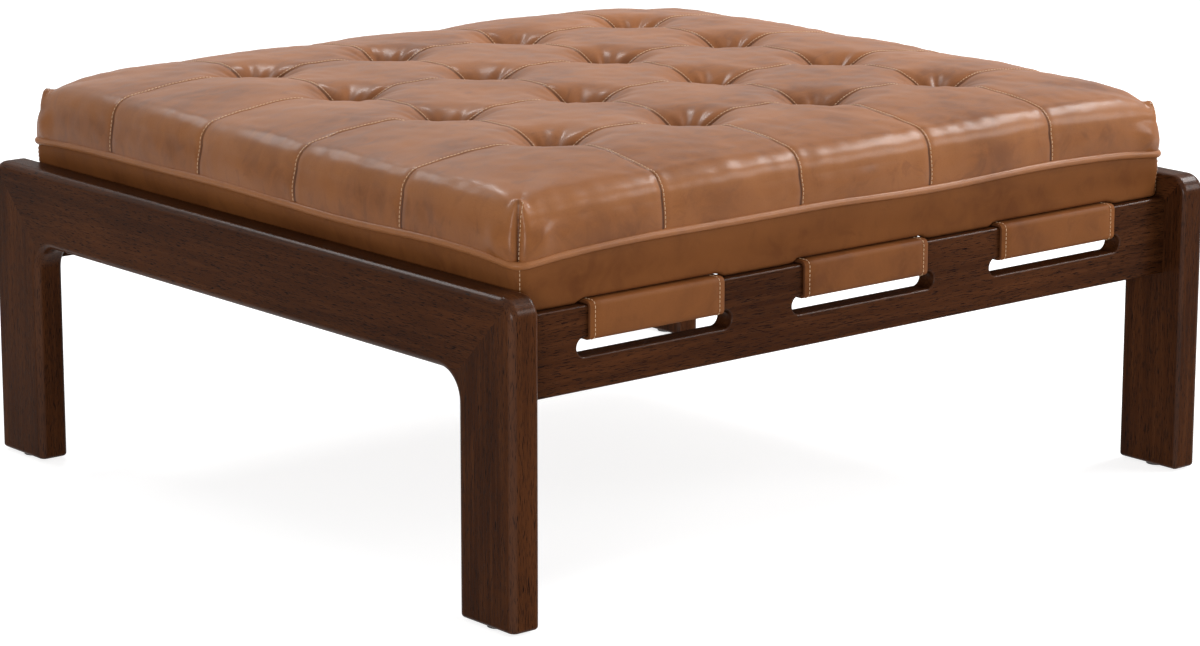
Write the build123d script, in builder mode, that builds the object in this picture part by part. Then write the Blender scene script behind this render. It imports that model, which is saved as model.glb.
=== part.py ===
from build123d import *

import math
import os

os.makedirs("parts", exist_ok=True)

# An ottoman coffee table: one loose, tufted leather cushion on a low hardwood frame.
# Two mitred side frames are joined by a slotted rail at the front and one at the back,
# and three leather straps run from rail to rail under the cushion.
# The origin is on the floor under the table's centre. X runs along the slotted rails,
# Y along the side frames and Z is up. All lengths are in millimetres.

# Whole table
overall_width = 914.0
overall_depth = 865.0
frame_height = 312.0
cut_overrun = 5.0

# Side frames: legs and top rail are sawn from one plank and meet in mitres
plank_thickness = 32.0
plank_width = 80.0
outer_corner_radius = 20.0
inner_corner_radius = 28.0
outer_edge_radius = 8.0
inner_edge_radius = 5.0
foot_edge_radius = 4.0

# Foot glides nailed under the legs
glide_diameter = 22.0
glide_thickness = 2.5
glide_nail_diameter = 2.5
glide_nail_length = 12.0

# Dowels in the mitres, placed along the mitre from its outer corner
mitre_dowel_diameter = 10.0
mitre_dowel_length = 50.0
mitre_dowel_inset = 38.0
mitre_dowel_pitch = 44.0
dowel_side_gap = 0.1
dowel_end_gap = 1.0

# Slotted rails
rail_height = 80.0
rail_thickness = 22.0
rail_drop = 24.0
rail_setback = 27.0
rail_edge_radius = 2.0
strap_bar_height = 30.0
slot_height = 18.0
slot_end_room = 12.0
slot_edge_radius = 2.0

# Dowels between a slotted rail and a leg
rail_dowel_diameter = 8.0
rail_dowel_in_leg = 14.0
rail_dowel_in_rail = 26.0
rail_dowel_inset = 18.0

# Steel angle brackets behind the ends of the slotted rails, and their screws
bracket_height = 50.0
bracket_thickness = 3.0
bracket_leg_flange = 24.0
bracket_rail_flange = 40.0
screw_diameter = 4.0
screw_depth_in_wood = 9.0
screw_head_diameter = 8.0
screw_head_height = 2.4
screw_spacing = 30.0
screw_side_gap = 0.2

# Leather straps, with widths and spacing as shares of the slotted rails' length
strap_width_share = 0.193
strap_pitch_share = 0.312
strap_thickness = 3.0
strap_gap = 0.3
strap_return_length = 50.0
strap_bend_radius = 2.5
strap_return_radius = 5.0

# Cushion: its top over the floor, and heights and radii as shares of its thickness
cushion_rest_gap = 0.3
cushion_side_gap = 0.6
cushion_height = 411.0
welt_height_share = 0.389
shoulder_height_share = 0.916
shoulder_radius_share = 0.218

# Cushion: plan outline at the welt, set by the frame round it, with bowed sides
cushion_over_side_frame = 1.0
cushion_behind_rail_face = 3.5
cushion_side_bow = 12.0
cushion_front_bow = 4.0
cushion_corner_radius = 15.0
side_bulge = 2.0
seated_bow = 0.3
band_straight_share = 0.353
band_bottom_radius = 4.0
crown_flat_share = 0.3
corner_softening_share = 1.2

# Cushion: how the roll over the edge and the crown are divided into sections
roll_angles = (0.0, 28.0, 56.0, 84.0)
crown_inset_shares = (0.33, 0.66, 1.0)
band_bulge_share = 0.45

# Tufts, four by four, and the sewn seams that join them
tuft_rows = 4
tuft_columns = 4
pit_radius_share = 0.4
pit_floor_radius = 5.0
pit_depth_share = 0.243
pit_fullness = 5.0
pit_rim_lift = 0.7
pit_mouth_width = 70.0
pit_mouth_rise = 6.0
seam_channel_width = 36.0
seam_channel_depth = 4.5
seam_fullness = 1.2
seam_lift = 1.0

# Cushion: what it is made of
leather_thickness = 2.0
band_lip_width = 30.0
bottom_cloth_thickness = 0.8
bottom_cloth_inset = 8.0
board_thickness = 12.0
foam_height_share = 0.583
foam_top_radius = 12.0
welt_diameter = 8.0
welt_proud = 3.0
welt_gap = 0.3

# Ties that pull the tufts down to the base board
tie_diameter = 3.0
tie_gap = 0.25
tie_in_cover_share = 0.34
tie_washer_diameter = 18.0
tie_washer_thickness = 1.5

# Places worked out from the sizes above
half_width = overall_width / 2
half_depth = overall_depth / 2
inner_face_x = half_width - plank_thickness
plank_centre_x = half_width - plank_thickness / 2
leg_bottom = glide_thickness
opening_top = frame_height - plank_width
opening_half_depth = half_depth - plank_width
rail_face_y = half_depth - rail_setback
rail_back_y = rail_face_y - rail_thickness
rail_centre_y = rail_face_y - rail_thickness / 2
rail_top = frame_height - rail_drop
rail_bottom = rail_top - rail_height
slot_top = rail_top - strap_bar_height
slot_centre_z = slot_top - slot_height / 2
strap_width = strap_width_share * 2 * inner_face_x
strap_pitch = strap_pitch_share * 2 * inner_face_x
strap_xs = (-strap_pitch, 0.0, strap_pitch)
slot_length = strap_width + 2 * slot_end_room
strap_top = rail_top + strap_gap + strap_thickness

cushion_bottom = strap_top + cushion_rest_gap
band_bottom = cushion_bottom + bottom_cloth_thickness
board_bottom = band_bottom + leather_thickness
board_top = board_bottom + board_thickness
cushion_thickness = cushion_height - cushion_bottom
welt_height = cushion_bottom + welt_height_share * cushion_thickness
band_straight_top = cushion_bottom + band_straight_share * (welt_height - cushion_bottom)
shoulder_height = cushion_bottom + shoulder_height_share * cushion_thickness
shoulder_radius = shoulder_radius_share * cushion_thickness
pit_depth = pit_depth_share * cushion_thickness
foam_top = board_top + foam_height_share * (cushion_height - board_top)
tie_in_cover = tie_in_cover_share * (cushion_height - pit_depth - foam_top)
cushion_half_width = inner_face_x + cushion_over_side_frame
cushion_half_depth = rail_face_y - cushion_behind_rail_face
crown_flat_inset = crown_flat_share * min(cushion_half_width, cushion_half_depth)
welt_in_cover = welt_diameter - welt_proud
seated_half_width = inner_face_x - cushion_side_gap
seated_half_depth = cushion_half_depth
core_half_width = cushion_half_width - welt_in_cover - leather_thickness
core_half_depth = cushion_half_depth - welt_in_cover - leather_thickness
core_corner_radius = cushion_corner_radius - leather_thickness
roll_centre_z = shoulder_height - shoulder_radius
tuft_pitch_x = 2 * cushion_half_width / (tuft_columns + 1)
tuft_pitch_y = 2 * cushion_half_depth / (tuft_rows + 1)
pit_radius = pit_radius_share * tuft_pitch_y
tuft_xs = [tuft_pitch_x * (i - (tuft_columns - 1) / 2) for i in range(tuft_columns)]
tuft_ys = [tuft_pitch_y * (i - (tuft_rows - 1) / 2) for i in range(tuft_rows)]

sides = {"left": -1, "right": 1}
ends = {"front": -1, "rear": 1}


def save(part, name):
    """Labels a finished sub-part and writes its STEP file."""
    part.label = name
    export_step(part, f"parts/{name}.step")
    print(name, "solids", len(part.solids()), "volume", round(part.volume))


# Side frames


def mitre_plane(end):
    """The plane of the mitre at one end of a side frame, its normal towards the leg."""
    corner = (0.0, end * opening_half_depth, opening_top)
    return Plane(origin=corner, x_dir=(1, 0, 0), z_dir=(0, end, -1))


def mitre_dowel_places(side, end):
    """Where the dowels cross a mitre, each lying square to it in the middle of the plank."""
    places = []
    for inset in (mitre_dowel_inset, mitre_dowel_inset + mitre_dowel_pitch):
        along = inset / math.sqrt(2)
        centre = (side * plank_centre_x, end * (half_depth - along), frame_height - along)
        places.append(Plane(origin=centre, z_dir=(0, end, -1)))
    return places


def rail_dowel_places(side, end):
    """Where the dowels enter a leg's inner face, each plane facing towards the rail."""
    places = []
    for height in (rail_bottom + rail_dowel_inset, rail_top - rail_dowel_inset):
        mouth = (side * inner_face_x, end * rail_centre_y, height)
        places.append(Plane(origin=mouth, z_dir=(-side, 0, 0)))
    return places


def screw_heights():
    """The two heights of the bracket screws."""
    middle = (rail_top + rail_bottom) / 2
    return (middle - screw_spacing / 2, middle + screw_spacing / 2)


def leg_screw_places(side, end):
    """Where the bracket screws enter a leg, on the bracket's face and facing inwards."""
    x = side * (inner_face_x - bracket_thickness)
    y = end * (rail_back_y - (bracket_thickness + bracket_leg_flange) / 2)
    return [Plane(origin=(x, y, z), z_dir=(-side, 0, 0)) for z in screw_heights()]


def rail_screw_places(side, end):
    """Where the bracket screws enter a rail, on the bracket's face and facing inwards."""
    x = side * (inner_face_x - (bracket_thickness + bracket_rail_flange) / 2)
    y = end * (rail_back_y - bracket_thickness)
    return [Plane(origin=(x, y, z), z_dir=(0, -end, 0)) for z in screw_heights()]


def drill(places, radius, depth):
    """A blind bore behind each plane's face, away from its normal."""
    with Locations(*places):
        Cylinder(radius, depth, align=(Align.CENTER, Align.CENTER, Align.MAX), mode=Mode.SUBTRACT)


def side_frame_blank(side):
    """A whole side frame before it is cut at its mitres."""
    outline = [
        (-half_depth, leg_bottom),
        (-half_depth, frame_height),
        (half_depth, frame_height),
        (half_depth, leg_bottom),
        (opening_half_depth, leg_bottom),
        (opening_half_depth, opening_top),
        (-opening_half_depth, opening_top),
        (-opening_half_depth, leg_bottom),
    ]
    with BuildPart() as blank:
        with BuildSketch(Plane.YZ.offset(side * inner_face_x)) as elevation:
            with BuildLine():
                Polyline(*outline, close=True)
            make_face()
            fillet(elevation.vertices().group_by(Axis.Y)[-1], outer_corner_radius)
            inner_corners = elevation.vertices().filter_by_position(
                Axis.Y, opening_top - foot_edge_radius, opening_top + foot_edge_radius
            )
            fillet(inner_corners, inner_corner_radius)
        extrude(amount=side * plank_thickness)
        for which, radius in ((1, outer_edge_radius), (0, inner_edge_radius)):
            face = blank.faces().filter_by(Axis.X).sort_by(Axis.X)[::side][which]
            foot_edges = blank.faces().filter_by(Axis.Z).group_by(Axis.Z)[0].edges()
            fillet([edge for edge in face.edges() if edge not in foot_edges], radius)
        fillet(blank.faces().filter_by(Axis.Z).group_by(Axis.Z)[0].edges(), foot_edge_radius)
    return blank.part


def bore_corner(side, end):
    """Bores one corner of a side frame for its dowels and for the bracket's screws."""
    with Locations(*mitre_dowel_places(side, end)):
        Cylinder(
            mitre_dowel_diameter / 2 + dowel_side_gap,
            mitre_dowel_length + 2 * dowel_end_gap,
            mode=Mode.SUBTRACT,
        )
    drill(
        rail_dowel_places(side, end),
        rail_dowel_diameter / 2 + dowel_side_gap,
        rail_dowel_in_leg + dowel_end_gap,
    )
    drill(
        leg_screw_places(side, end),
        screw_diameter / 2,
        bracket_thickness + screw_depth_in_wood,
    )


def build_leg(blank, side, end):
    """One leg, cut off the side frame at its mitre, bored, and with a hole for the glide's nail."""
    with BuildPart() as leg:
        add(blank)
        split(bisect_by=mitre_plane(end), keep=Keep.TOP)
        bore_corner(side, end)
        with Locations((side * plank_centre_x, end * (half_depth - plank_width / 2), leg_bottom)):
            Cylinder(
                glide_nail_diameter / 2,
                glide_nail_length,
                align=(Align.CENTER, Align.CENTER, Align.MIN),
                mode=Mode.SUBTRACT,
            )
    return leg.part


def build_top_rail(blank, side):
    """The top rail of a side frame, mitred and bored at both ends."""
    with BuildPart() as rail:
        add(blank)
        for end in ends.values():
            split(bisect_by=mitre_plane(end), keep=Keep.BOTTOM)
            bore_corner(side, end)
    return rail.part


for side_name, side in sides.items():
    side_blank = side_frame_blank(side)
    for end_name, end in ends.items():
        save(build_leg(side_blank, side, end), f"{end_name}_{side_name}_leg")
    save(build_top_rail(side_blank, side), f"{side_name}_top_rail")


# Dowels and glides


def build_dowel(diameter, length):
    """A plain beech dowel with chamfered ends, centred on its length."""
    with BuildPart() as dowel:
        Cylinder(diameter / 2, length)
        chamfer(dowel.edges().filter_by(GeomType.CIRCLE), dowel_end_gap)
    return dowel.part


mitre_dowel = build_dowel(mitre_dowel_diameter, mitre_dowel_length)
with BuildPart() as mitre_dowels:
    for side in sides.values():
        for end in ends.values():
            with Locations(*mitre_dowel_places(side, end)):
                add(mitre_dowel)
save(mitre_dowels.part, "mitre_dowels")

rail_dowel_length = rail_dowel_in_leg + rail_dowel_in_rail
rail_dowel = build_dowel(rail_dowel_diameter, rail_dowel_length)
with BuildPart() as rail_dowels:
    for side in sides.values():
        for end in ends.values():
            for place in rail_dowel_places(side, end):
                with Locations(place.offset(rail_dowel_length / 2 - rail_dowel_in_leg)):
                    add(rail_dowel)
save(rail_dowels.part, "rail_dowels")

with BuildPart() as foot_glides:
    for side in sides.values():
        for end in ends.values():
            with Locations((side * plank_centre_x, end * (half_depth - plank_width / 2), 0.0)):
                Cylinder(
                    glide_diameter / 2,
                    glide_thickness,
                    align=(Align.CENTER, Align.CENTER, Align.MIN),
                )
                Cylinder(
                    glide_nail_diameter / 2,
                    glide_thickness + glide_nail_length,
                    align=(Align.CENTER, Align.CENTER, Align.MIN),
                )
save(foot_glides.part, "foot_glides")


# Slotted rails


def build_slotted_rail(end):
    """A rail between the side frames, with one slot under each strap."""
    with BuildPart() as rail:
        with BuildSketch(Plane.XZ.offset(-end * rail_face_y)):
            with Locations((0.0, (rail_top + rail_bottom) / 2)):
                Rectangle(2 * inner_face_x, rail_height)
            with Locations(*[(x, slot_centre_z) for x in strap_xs]):
                SlotOverall(slot_length, slot_height, mode=Mode.SUBTRACT)
        extrude(amount=end * rail_thickness)
        long_edges = rail.edges().filter_by(Axis.X)
        fillet(long_edges.group_by(Axis.Z)[0] + long_edges.group_by(Axis.Z)[-1], rail_edge_radius)
        slot_rims = [w for face in rail.faces().filter_by(Axis.Y) for w in face.inner_wires()]
        fillet([edge for rim in slot_rims for edge in rim.edges()], slot_edge_radius)
        for side in sides.values():
            mouths = [p.offset(rail_dowel_in_rail) for p in rail_dowel_places(side, end)]
            drill(
                [p.offset(dowel_end_gap) for p in mouths],
                rail_dowel_diameter / 2 + dowel_side_gap,
                rail_dowel_in_rail + dowel_end_gap,
            )
            drill(
                rail_screw_places(side, end),
                screw_diameter / 2,
                bracket_thickness + screw_depth_in_wood,
            )
    return rail.part


for end_name, end in ends.items():
    save(build_slotted_rail(end), f"{end_name}_slotted_rail")


# Corner brackets and screws


def build_bracket(side, end):
    """One angle bracket, with its flanges on the leg and on the back of the rail."""
    corner = (side * inner_face_x, end * rail_back_y)
    with BuildPart() as bracket:
        with BuildSketch(Plane.XY.offset(screw_heights()[0] - (bracket_height - screw_spacing) / 2)):
            with Locations(corner):
                Rectangle(
                    bracket_rail_flange,
                    bracket_leg_flange,
                    align=(
                        Align.MAX if side > 0 else Align.MIN,
                        Align.MAX if end > 0 else Align.MIN,
                    ),
                )
            with Locations((corner[0] - side * bracket_thickness, corner[1] - end * bracket_thickness)):
                Rectangle(
                    bracket_rail_flange,
                    bracket_leg_flange,
                    align=(
                        Align.MAX if side > 0 else Align.MIN,
                        Align.MAX if end > 0 else Align.MIN,
                    ),
                    mode=Mode.SUBTRACT,
                )
        extrude(amount=bracket_height)
        places = leg_screw_places(side, end) + rail_screw_places(side, end)
        drill(
            [p.offset(cut_overrun) for p in places],
            screw_diameter / 2 + screw_side_gap,
            bracket_thickness + 2 * cut_overrun,
        )
    return bracket.part


brackets = [build_bracket(side, end) for side in sides.values() for end in ends.values()]
with BuildPart() as corner_brackets:
    add(brackets)
save(corner_brackets.part, "corner_brackets")

with BuildPart() as screw:
    Cylinder(
        screw_diameter / 2,
        bracket_thickness + screw_depth_in_wood,
        align=(Align.CENTER, Align.CENTER, Align.MAX),
    )
    Cylinder(
        screw_head_diameter / 2,
        screw_head_height,
        align=(Align.CENTER, Align.CENTER, Align.MIN),
    )
    chamfer(screw.edges().group_by(Axis.Z)[-1], screw_head_height / 2)

with BuildPart() as bracket_screws:
    for side in sides.values():
        for end in ends.values():
            with Locations(*leg_screw_places(side, end), *rail_screw_places(side, end)):
                add(screw.part)
save(bracket_screws.part, "bracket_screws")


# Leather straps


def strap_outline():
    """The rear half of the strap's edge-on outline: corners and radii, from the sewn return."""
    bar_back = rail_back_y - strap_gap
    bar_front = rail_face_y + strap_gap
    bar_under = slot_top - strap_gap
    bar_over = rail_top + strap_gap
    return_end = bar_back - strap_return_length
    inside = [
        ((return_end, rail_top), 0.0),
        ((bar_back, rail_top), strap_return_radius),
        ((bar_back, bar_under), strap_bend_radius),
        ((bar_front, bar_under), strap_bend_radius),
        ((bar_front, bar_over), strap_bend_radius),
    ]
    t = strap_thickness
    outside = [
        ((return_end, rail_top - t), 0.0),
        ((bar_back - t, rail_top - t), strap_return_radius - t),
        ((bar_back - t, bar_under - t), strap_bend_radius + t),
        ((bar_front + t, bar_under - t), strap_bend_radius + t),
        ((bar_front + t, bar_over + t), strap_bend_radius + t),
    ]
    return inside, outside


def build_strap(centre_x):
    """A strap that wraps round the upper bar of each rail and is sewn back on itself."""
    inside, outside = strap_outline()
    rear_half = outside[::-1] + inside
    front_half = [((-y, z), radius) for (y, z), radius in rear_half[::-1]]
    corners = [point for point, _ in rear_half + front_half]
    radii = [radius for _, radius in rear_half + front_half]
    with BuildPart() as strap:
        with BuildSketch(Plane.YZ.offset(centre_x - strap_width / 2)):
            with BuildLine():
                FilletPolyline(*corners, radius=radii, close=True)
            make_face()
        extrude(amount=strap_width)
    return strap.part


for strap_name, centre_x in zip(("left", "centre", "right"), strap_xs):
    save(build_strap(centre_x), f"{strap_name}_strap")


# Cushion: outline, roll and crown


def bowed_outline(half_x, half_y, bow_x, bow_y, radius, height):
    """A plan outline at one height, with four bowed sides and round corners."""
    with BuildSketch(Plane.XY.offset(height)) as outline:
        with BuildLine():
            ThreePointArc((-half_x, -half_y), (0.0, -half_y - bow_y), (half_x, -half_y))
            ThreePointArc((half_x, -half_y), (half_x + bow_x, 0.0), (half_x, half_y))
            ThreePointArc((half_x, half_y), (0.0, half_y + bow_y), (-half_x, half_y))
            ThreePointArc((-half_x, half_y), (-half_x - bow_x, 0.0), (-half_x, -half_y))
        make_face()
        fillet(outline.vertices(), radius)
    return outline.sketch


def crown_radius(top):
    """Radius of the crown's arc, which is level at its flat middle and tangent to the roll."""
    reach = crown_flat_inset - shoulder_radius
    rise = top - roll_centre_z
    return (rise**2 + reach**2 - shoulder_radius**2) / (2 * (rise - shoulder_radius))


def crown_height(inset):
    """Height of the crown at a distance inwards from the cushion's nearest side."""
    radius = crown_radius(cushion_height)
    from_flat = max(crown_flat_inset - inset, 0.0)
    return cushion_height - radius + math.sqrt(radius**2 - from_flat**2)


def roll_point(angle):
    """Inset and height on the roll over the edge; 0 is its start on the side, 90 the shoulder."""
    inset = shoulder_radius * (1 - math.cos(math.radians(angle)))
    height = roll_centre_z + shoulder_radius * math.sin(math.radians(angle))
    return inset, height


def crown_section(inset, height):
    """The cushion's plan outline at one height of its side, roll or crown."""
    straightness = 1 - max(inset, 0.0) / crown_flat_inset
    return bowed_outline(
        cushion_half_width - inset,
        cushion_half_depth - inset,
        seated_bow + cushion_side_bow * straightness,
        seated_bow + cushion_front_bow * straightness,
        cushion_corner_radius + corner_softening_share * max(inset, 0.0),
        height,
    )


side_sections = [
    crown_section(0.0, welt_height),
    crown_section(-side_bulge, (welt_height + roll_centre_z) / 2),
    crown_section(*roll_point(roll_angles[0])),
]
roll_sections = [crown_section(*roll_point(angle)) for angle in roll_angles]
roll_end_inset = roll_point(roll_angles[-1])[0]
crown_insets = [
    share * crown_flat_inset + (1 - share) * roll_end_inset for share in crown_inset_shares
]
crown_sections = [roll_sections[-1]] + [crown_section(i, crown_height(i)) for i in crown_insets]


# Cushion: sewn seams and tufts


def side_distance(half, bow, along, along_half):
    """How far a bowed side stands from the middle, at one place along it."""
    return half + seated_bow + bow * (1 - (along / along_half) ** 2)


def seam_line(plane, half_length, top):
    """Half of a seam's line in its own upright plane, from the crown's middle to the welt."""
    radius = crown_radius(top)
    roll_centre = Vector(half_length - shoulder_radius, roll_centre_z)
    flat_end = Vector(half_length - crown_flat_inset, top)
    crown_centre = Vector(flat_end.X, top - radius)
    shoulder = roll_centre + (roll_centre - crown_centre).normalized() * shoulder_radius
    with BuildLine(plane) as line:
        Line((-cut_overrun, top), (flat_end.X, flat_end.Y))
        RadiusArc((flat_end.X, flat_end.Y), (shoulder.X, shoulder.Y), radius)
        RadiusArc((shoulder.X, shoulder.Y), (half_length, roll_centre_z), shoulder_radius)
        Line((half_length, roll_centre_z), (half_length, welt_height - cut_overrun))
    return line.wire()


def seam_groove(wire, across):
    """The groove along a seam: two full panels that meet in a crease, from above the surface."""
    half_groove = seam_channel_width / 2
    rise = seam_channel_depth / 2 - seam_fullness
    down = (0, 0, -1)
    plane = Plane(origin=wire @ 0, x_dir=across, z_dir=Vector(*across).cross(Vector(*down)))
    with BuildSketch(plane) as groove:
        with BuildLine():
            Polyline(
                (half_groove, -seam_lift),
                (half_groove / 2, rise),
                (0, seam_channel_depth),
                (-half_groove / 2, rise),
                (-half_groove, -seam_lift),
                close=True,
            )
        make_face()
    return groove.sketch


def tuft_height(x, y):
    """Height of the crown where a tuft is pulled in."""
    inset = min(cushion_half_width - abs(x), cushion_half_depth - abs(y))
    return crown_height(inset)


def tuft_places():
    """The middle of every tuft, on the crown."""
    return [(x, y, tuft_height(x, y)) for x in tuft_xs for y in tuft_ys]


def seams_of_one_quarter():
    """The seam lines and groove outlines in the quarter where X and Y are positive."""
    seams = []
    for x in [x for x in tuft_xs if x > 0]:
        half_length = side_distance(cushion_half_depth, cushion_front_bow, x, cushion_half_width)
        wire = seam_line(Plane.YZ.offset(x), half_length, tuft_height(x, 0.0))
        seams.append((wire, seam_groove(wire, (1, 0, 0))))
    for y in [y for y in tuft_ys if y > 0]:
        half_length = side_distance(cushion_half_width, cushion_side_bow, y, cushion_half_depth)
        wire = seam_line(Plane.XZ.offset(-y), half_length, tuft_height(0.0, y))
        seams.append((wire, seam_groove(wire, (0, -1, 0))))
    return seams


with BuildPart() as pit:
    middle = (
        (pit_radius + pit_floor_radius) / 2 - pit_fullness * pit_depth / pit_radius,
        -pit_depth / 2 + pit_fullness,
    )
    with BuildSketch(Plane.XZ):
        with BuildLine():
            Polyline(
                (pit_radius + pit_mouth_width, pit_mouth_rise),
                (pit_radius, pit_rim_lift),
                middle,
                (pit_floor_radius, -pit_depth),
                (0, -pit_depth),
                (0, pit_mouth_rise),
                close=True,
            )
        make_face()
    revolve(axis=Axis.Z)


# Cushion: the parts inside


def core_slab(bottom, top):
    """A slab that fills the cushion's cover from side to side."""
    with BuildPart() as slab:
        with BuildSketch(Plane.XY.offset(bottom)):
            RectangleRounded(2 * core_half_width, 2 * core_half_depth, core_corner_radius)
        extrude(amount=top - bottom)
    return slab.part


def bore_for_ties(bottom, top):
    """Cuts a bore for each tie, from one height to another."""
    with Locations(*[(x, y, bottom) for x in tuft_xs for y in tuft_ys]):
        Cylinder(
            tie_diameter / 2 + tie_gap,
            top - bottom,
            align=(Align.CENTER, Align.CENTER, Align.MIN),
            mode=Mode.SUBTRACT,
        )


with BuildPart() as base_board:
    add(core_slab(board_bottom, board_top))
    bore_for_ties(board_bottom, board_top)
save(base_board.part, "base_board")

with BuildPart() as foam_block:
    add(core_slab(board_top, foam_top))
    fillet(foam_block.edges().group_by(Axis.Z)[-1], foam_top_radius)

with BuildPart() as foam_core:
    add(foam_block.part)
    bore_for_ties(board_top, foam_top)
save(foam_core.part, "foam_core")

with BuildPart() as tuft_ties:
    with Locations(*[(x, y, board_bottom) for x in tuft_xs for y in tuft_ys]):
        Cylinder(
            tie_washer_diameter / 2,
            tie_washer_thickness,
            align=(Align.CENTER, Align.CENTER, Align.MAX),
        )
        Cylinder(
            tie_diameter / 2,
            foam_top + tie_in_cover - board_bottom,
            align=(Align.CENTER, Align.CENTER, Align.MIN),
        )
save(tuft_ties.part, "tuft_ties")

with BuildPart() as bottom_cloth:
    with BuildSketch(Plane.XY.offset(cushion_bottom)):
        RectangleRounded(
            2 * (seated_half_width - bottom_cloth_inset),
            2 * (seated_half_depth - bottom_cloth_inset),
            cushion_corner_radius - bottom_cloth_inset,
        )
    extrude(amount=bottom_cloth_thickness)
save(bottom_cloth.part, "bottom_cloth")


# Cushion: welt and cover


def welt_tube(radius):
    """The round welt along the seam between the band and the top."""
    path = crown_section(welt_diameter / 2 - welt_proud, welt_height).wires()[0]
    with BuildPart() as tube:
        with BuildSketch(Plane(origin=path @ 0, z_dir=path % 0)):
            Circle(radius)
        sweep(path=path)
    return tube.part


save(welt_tube(welt_diameter / 2), "welt_cord")
welt_seat = welt_tube(welt_diameter / 2 + welt_gap)


def band_outline(share, height):
    """The lower band's plan outline: straight between the side frames, bowed at the welt."""
    return bowed_outline(
        seated_half_width + share * (cushion_half_width - seated_half_width),
        seated_half_depth + share * (cushion_half_depth - seated_half_depth),
        seated_bow + share * cushion_side_bow,
        seated_bow + share * cushion_front_bow,
        cushion_corner_radius,
        height,
    )


band_middle = (band_straight_top + welt_height) / 2
with BuildPart() as lower_band:
    extrude(band_outline(0.0, band_bottom), amount=band_straight_top - band_bottom)
    fillet(lower_band.faces().sort_by(Axis.Z)[0].edges(), band_bottom_radius)
    loft(
        [
            band_outline(0.0, band_straight_top),
            band_outline(band_bulge_share, band_middle),
            band_outline(1.0, welt_height),
        ]
    )
    add(core_slab(board_bottom, welt_height), mode=Mode.SUBTRACT)
    with BuildSketch(Plane.XY.offset(band_bottom)):
        RectangleRounded(
            2 * (core_half_width - band_lip_width),
            2 * (core_half_depth - band_lip_width),
            core_corner_radius,
        )
    extrude(amount=leather_thickness, mode=Mode.SUBTRACT)
    add(welt_seat, mode=Mode.SUBTRACT)
save(lower_band.part, "lower_band")

with BuildPart() as quilted_top:
    loft(side_sections)
    loft(roll_sections)
    loft(crown_sections)
    split(bisect_by=Plane.YZ, keep=Keep.TOP)
    split(bisect_by=Plane.XZ, keep=Keep.BOTTOM)
    for wire, groove in seams_of_one_quarter():
        sweep(sections=groove, path=wire, mode=Mode.SUBTRACT)
    for x, y, z in tuft_places():
        if x > 0 and y > 0:
            with Locations((x, y, z)):
                add(pit.part, mode=Mode.SUBTRACT)
    add(foam_block.part, mode=Mode.SUBTRACT)
    add(welt_seat, mode=Mode.SUBTRACT)
    mirror(about=Plane.YZ)
    mirror(about=Plane.XZ)
    bore_for_ties(foam_top, foam_top + tie_in_cover)
save(quilted_top.part, "quilted_top")
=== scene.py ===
# %% [markdown]
# # A tufted leather ottoman coffee table, finished in Blender
#
# The CAD model gives the size, the place and the parts of the table. This lesson makes it look
# like the real one. We will
#
# 1. load the CAD model as a frame and put a camera where the photographer stood,
# 2. light it like a studio packshot,
# 3. give the wood a stained walnut finish with grain that follows each plank,
# 4. build the leather cushion: a crowned cover with sewn seams, tufts and pleats,
# 5. add the lower band, the welt, the stitching, the straps and the dust cloth.
#
# All lengths are in metres, and Z points up. A value whose name ends in `share` multiplies
# another measure.

# %% Imports and the frame
import math

import bpy
import numpy as np
from mathutils import Matrix, Vector, noise


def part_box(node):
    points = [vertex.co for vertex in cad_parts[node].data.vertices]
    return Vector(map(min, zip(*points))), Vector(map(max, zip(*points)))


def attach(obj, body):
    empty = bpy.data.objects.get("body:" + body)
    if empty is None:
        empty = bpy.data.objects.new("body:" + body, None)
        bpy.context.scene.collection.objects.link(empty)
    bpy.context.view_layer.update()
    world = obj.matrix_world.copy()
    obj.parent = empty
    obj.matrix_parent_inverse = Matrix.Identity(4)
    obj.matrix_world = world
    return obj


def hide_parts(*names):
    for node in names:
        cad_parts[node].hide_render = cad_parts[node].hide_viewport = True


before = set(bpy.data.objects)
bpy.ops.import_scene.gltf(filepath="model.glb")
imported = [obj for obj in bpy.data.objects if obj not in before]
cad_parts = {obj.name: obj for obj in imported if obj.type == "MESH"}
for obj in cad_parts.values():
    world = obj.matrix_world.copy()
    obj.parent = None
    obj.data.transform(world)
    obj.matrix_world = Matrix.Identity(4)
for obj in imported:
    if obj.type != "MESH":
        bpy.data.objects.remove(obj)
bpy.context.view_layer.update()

# %% [markdown]
# ## The camera
#
# The camera's place, direction and lens come from a fit of the CAD model's straight edges to
# the same edges in the photograph. An unturned camera looks straight down, with +Y at the top
# of the picture. So, from its own axes outwards, we roll it, tip it up about X until it looks
# down by no more than the pitch angle, and swing it about Z to the azimuth.

# %% Camera
camera_place = Vector((-2.6009, -3.1097, 1.0986))
camera_azimuth = math.radians(-40.519)
camera_pitch = math.radians(13.136)
camera_roll = math.radians(0.186)
camera_sensor_width = 36.0
photo_width = 1200
photo_height = 646
focal_pixels = 3988.7
axis_x_pixels = 635.7
axis_y_pixels = 316.6

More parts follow.
